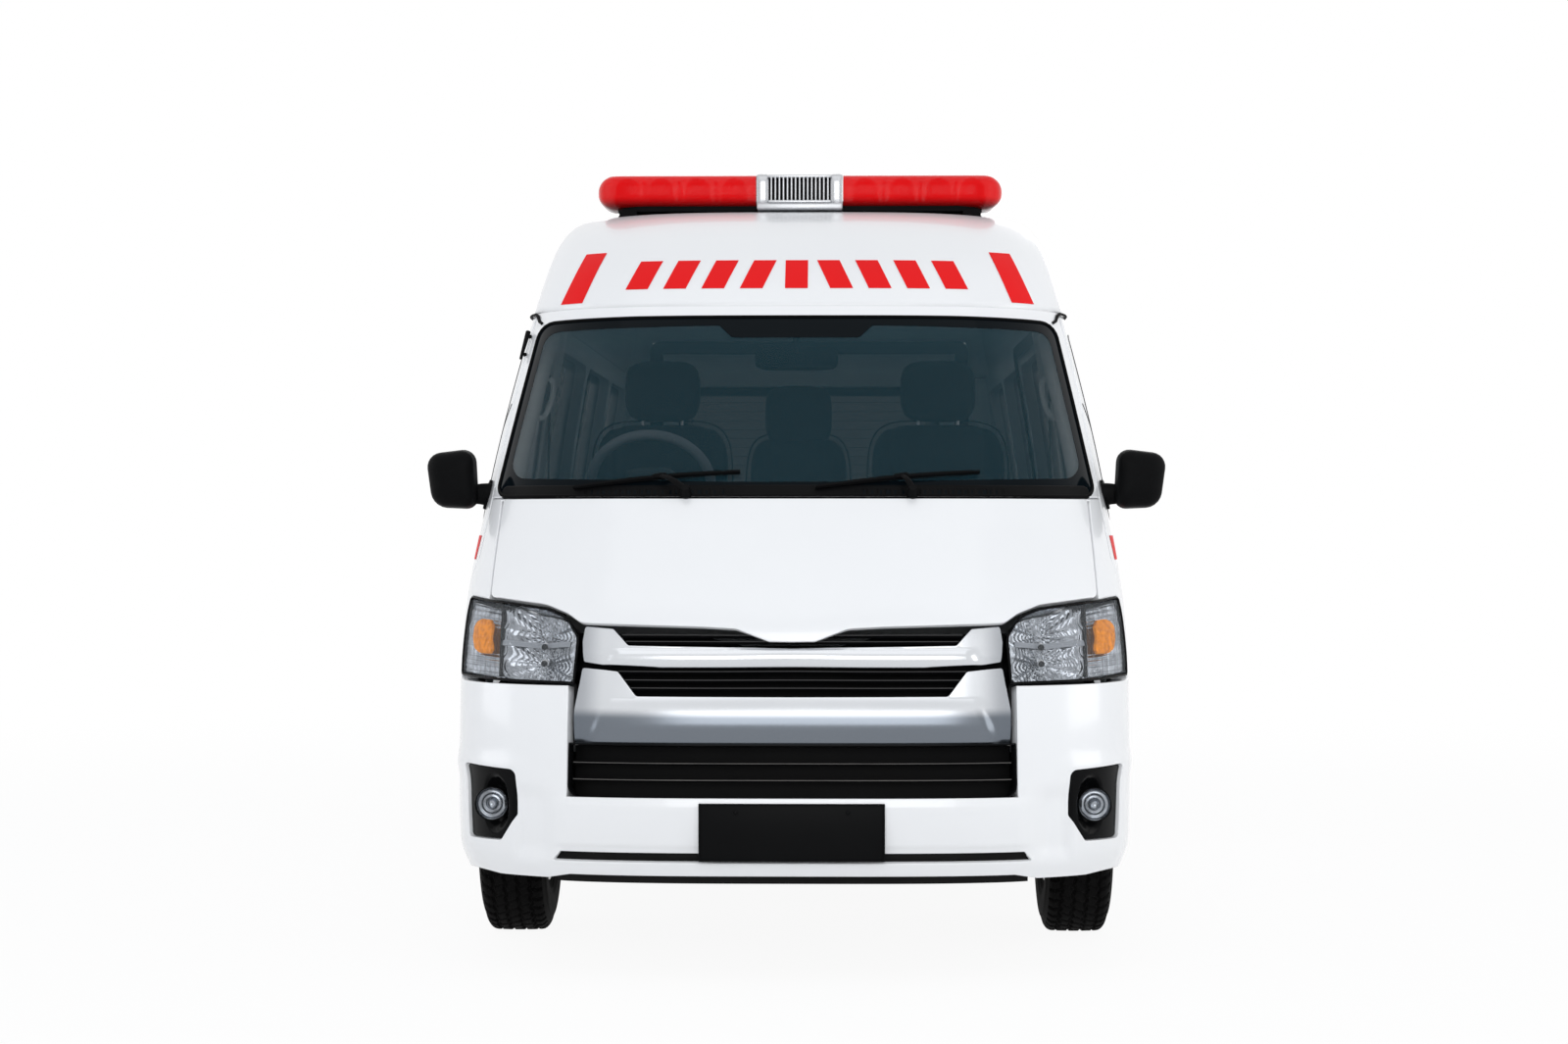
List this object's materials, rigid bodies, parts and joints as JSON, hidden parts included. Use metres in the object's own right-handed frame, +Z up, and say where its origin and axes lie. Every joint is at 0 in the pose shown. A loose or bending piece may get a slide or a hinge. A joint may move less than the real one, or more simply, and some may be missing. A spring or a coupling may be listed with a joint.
{
  "type": "ambulance",
  "caption": "High-roof van ambulance, right-hand drive, with hinged cab doors, bonnet and tailgate, a fixed sliding door, steered front wheels, a roof light bar and a stretcher.",
  "frame": {"origin": "on the ground, midway along the length and on the plane of symmetry", "axes": "+X towards the vehicle's left, +Y towards its rear, +Z up; the front faces -Y"},
  "size_m": [2.154, 5.3798, 2.376],
  "materials": {
    "white_paint": "gloss white paint",
    "white_roof": "gloss white moulded roof",
    "chrome_trim": "bright trim",
    "black_plastic": "grained black plastic",
    "black_gloss": "gloss black",
    "lamp_clear": "clear lamp lens",
    "lamp_red": "red lens",
    "glass_clear": "tinted safety glass",
    "glass_dark": "dark privacy glass",
    "silver": "silver paint",
    "speaker_grey": "grey metal louvres",
    "tyre_rubber": "black tyre rubber",
    "chassis_black": "satin black chassis paint",
    "iron": "bare casting",
    "steel_grey": "dull steel",
    "tank_plastic": "black moulded tank",
    "floor_vinyl": "grey floor covering",
    "dash_plastic": "grey grained plastic",
    "seat_fabric": "grey seat cloth",
    "stretcher_pad": "blue wipe-clean cover",
    "bench_vinyl": "blue wipe-clean cover"
  },
  "bodies": {
    "body": {"front_bumper": "white_paint", "fog_lights": "black_plastic", "headlights": "lamp_clear", "grille_bars": "chrome_trim", "grille_panel": "black_plastic", "fenders": "white_paint", "windscreen_frame": "white_paint", "cowl": "black_plastic", "windshield": "glass_clear", "roof": "white_roof", "side_panel_left": "white_paint", "side_panel_right": "white_paint", "side_glass": "glass_dark", "sliding_door": "white_paint", "sliding_door_glass": "glass_dark", "rear_bumper": "white_paint", "tail_lights": "lamp_red", "light_bar_base": "black_plastic", "light_bar_lenses": "lamp_red", "light_bar_speaker": "speaker_grey", "front_plate": "black_gloss", "wipers": "black_plastic", "cab_floor": "floor_vinyl", "load_floor": "floor_vinyl", "frame_rails": "chassis_black", "cross_members": "chassis_black", "tow_eyes": "chassis_black", "engine": "iron", "rear_axle": "chassis_black", "front_crossmember": "chassis_black", "leaf_springs": "chassis_black", "exhaust": "steel_grey", "fuel_tank": "tank_plastic", "spare_wheel": "tyre_rubber", "dashboard": "dash_plastic", "front_seats": "seat_fabric", "stretcher": "stretcher_pad", "side_bench": "bench_vinyl"},
    "front_door_left": {"front_door_left": "white_paint", "door_glass_left": "glass_clear", "mirror_left": "black_plastic"},
    "front_door_right": {"front_door_right": "white_paint", "door_glass_right": "glass_clear", "mirror_right": "black_plastic"},
    "hood": {"hood": "white_paint"},
    "tailgate": {"tailgate": "white_paint", "tailgate_glass": "glass_dark", "rear_plate": "black_gloss"},
    "knuckle_left": {"knuckle_left": "iron"},
    "knuckle_right": {"knuckle_right": "iron"},
    "steering_wheel": {"steering_wheel": "black_plastic"},
    "wheel_front_left": {"tyre_front_left": "tyre_rubber", "rim_front_left": "silver"},
    "wheel_front_right": {"tyre_front_right": "tyre_rubber", "rim_front_right": "silver"},
    "wheel_rear_left": {"tyre_rear_left": "tyre_rubber", "rim_rear_left": "silver"},
    "wheel_rear_right": {"tyre_rear_right": "tyre_rubber", "rim_rear_right": "silver"}
  },
  "joints": [
    {"name": "wheel_front_left_spin", "type": "hinge", "parent": "knuckle_left", "child": "wheel_front_left", "pos_m": [0.8275, -1.675, 0.345], "axis": [1, 0, 0], "continuous": true},
    {"name": "wheel_front_right_spin", "type": "hinge", "parent": "knuckle_right", "child": "wheel_front_right", "pos_m": [-0.8275, -1.675, 0.345], "axis": [1, 0, 0], "continuous": true},
    {"name": "wheel_rear_left_spin", "type": "hinge", "parent": "body", "child": "wheel_rear_left", "pos_m": [0.8275, 1.435, 0.345], "axis": [1, 0, 0], "continuous": true},
    {"name": "wheel_rear_right_spin", "type": "hinge", "parent": "body", "child": "wheel_rear_right", "pos_m": [-0.8275, 1.435, 0.345], "axis": [1, 0, 0], "continuous": true},
    {"name": "steer_left", "type": "hinge", "parent": "body", "child": "knuckle_left", "pos_m": [0.745, -1.675, 0.345], "axis": [0, 0, 1], "range_deg": [-35, 35]},
    {"name": "front_door_left_swing", "type": "hinge", "parent": "body", "child": "front_door_left", "pos_m": [0.935, -2.128, 1], "axis": [0, 0, -1], "range_deg": [0, 70]},
    {"name": "steer_right", "type": "hinge", "parent": "body", "child": "knuckle_right", "pos_m": [-0.745, -1.675, 0.345], "axis": [0, 0, 1], "range_deg": [-35, 35]},
    {"name": "front_door_right_swing", "type": "hinge", "parent": "body", "child": "front_door_right", "pos_m": [-0.935, -2.128, 1], "axis": [0, 0, 1], "range_deg": [0, 70]},
    {"name": "steering_wheel_turn", "type": "hinge", "parent": "body", "child": "steering_wheel", "pos_m": [-0.43, -1.81, 1.335], "axis": [0, 0.8192, 0.5736], "range_deg": [-630, 630]},
    {"name": "hood_lift", "type": "hinge", "parent": "body", "child": "hood", "pos_m": [0, -2.09, 1.345], "axis": [-1, 0, 0], "range_deg": [0, 45]},
    {"name": "tailgate_lift", "type": "hinge", "parent": "body", "child": "tailgate", "pos_m": [0, 2.44, 2.025], "axis": [1, 0, 0], "range_deg": [0, 88]}
  ],
  "couplings": [
    {"joint": "steer_right", "follows": "steer_left", "ratio": 1},
    {"joint": "steering_wheel_turn", "follows": "steer_left", "ratio": 18}
  ]
}
